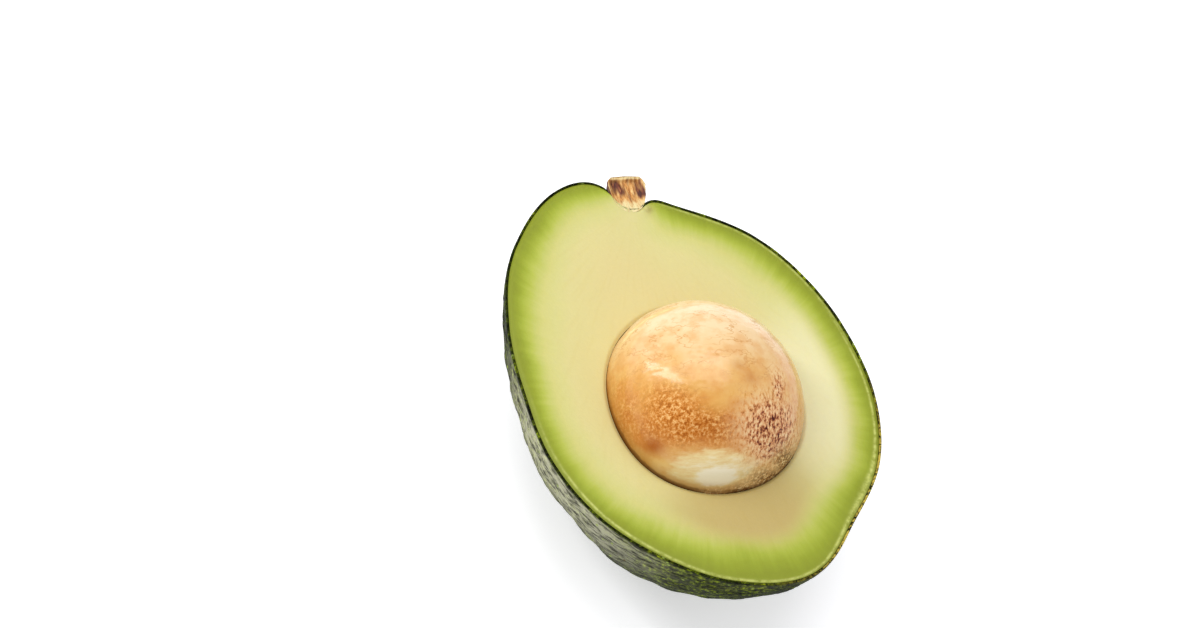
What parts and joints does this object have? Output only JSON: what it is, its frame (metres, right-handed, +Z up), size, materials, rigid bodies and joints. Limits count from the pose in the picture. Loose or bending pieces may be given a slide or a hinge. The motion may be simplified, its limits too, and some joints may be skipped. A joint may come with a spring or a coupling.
{
  "type": "halved avocado",
  "caption": "Half an avocado lying on its back with the cut face up, its round seed in the flesh and its half of the woody stem stub at the narrow end.",
  "frame": {"origin": "on the resting plane, straight below the centre of the seed", "axes": "+X across the fruit, +Y along the fruit towards the stem, +Z up, out of the cut face"},
  "size_m": [0.0731, 0.0961, 0.0509],
  "materials": {
    "fruit": "moist cut flesh, cream-yellow in the middle and green towards the skin, in a glossy dark green pebbled skin",
    "seed_coat": "smooth satin seed coat, orange-tan with brown mottling",
    "bark": "rough dry bark, red-brown, with a tan cut face"
  },
  "bodies": {
    "root": {"avocado_half": "fruit", "seed": "seed_coat", "stem_stub": "bark"}
  },
  "joints": []
}
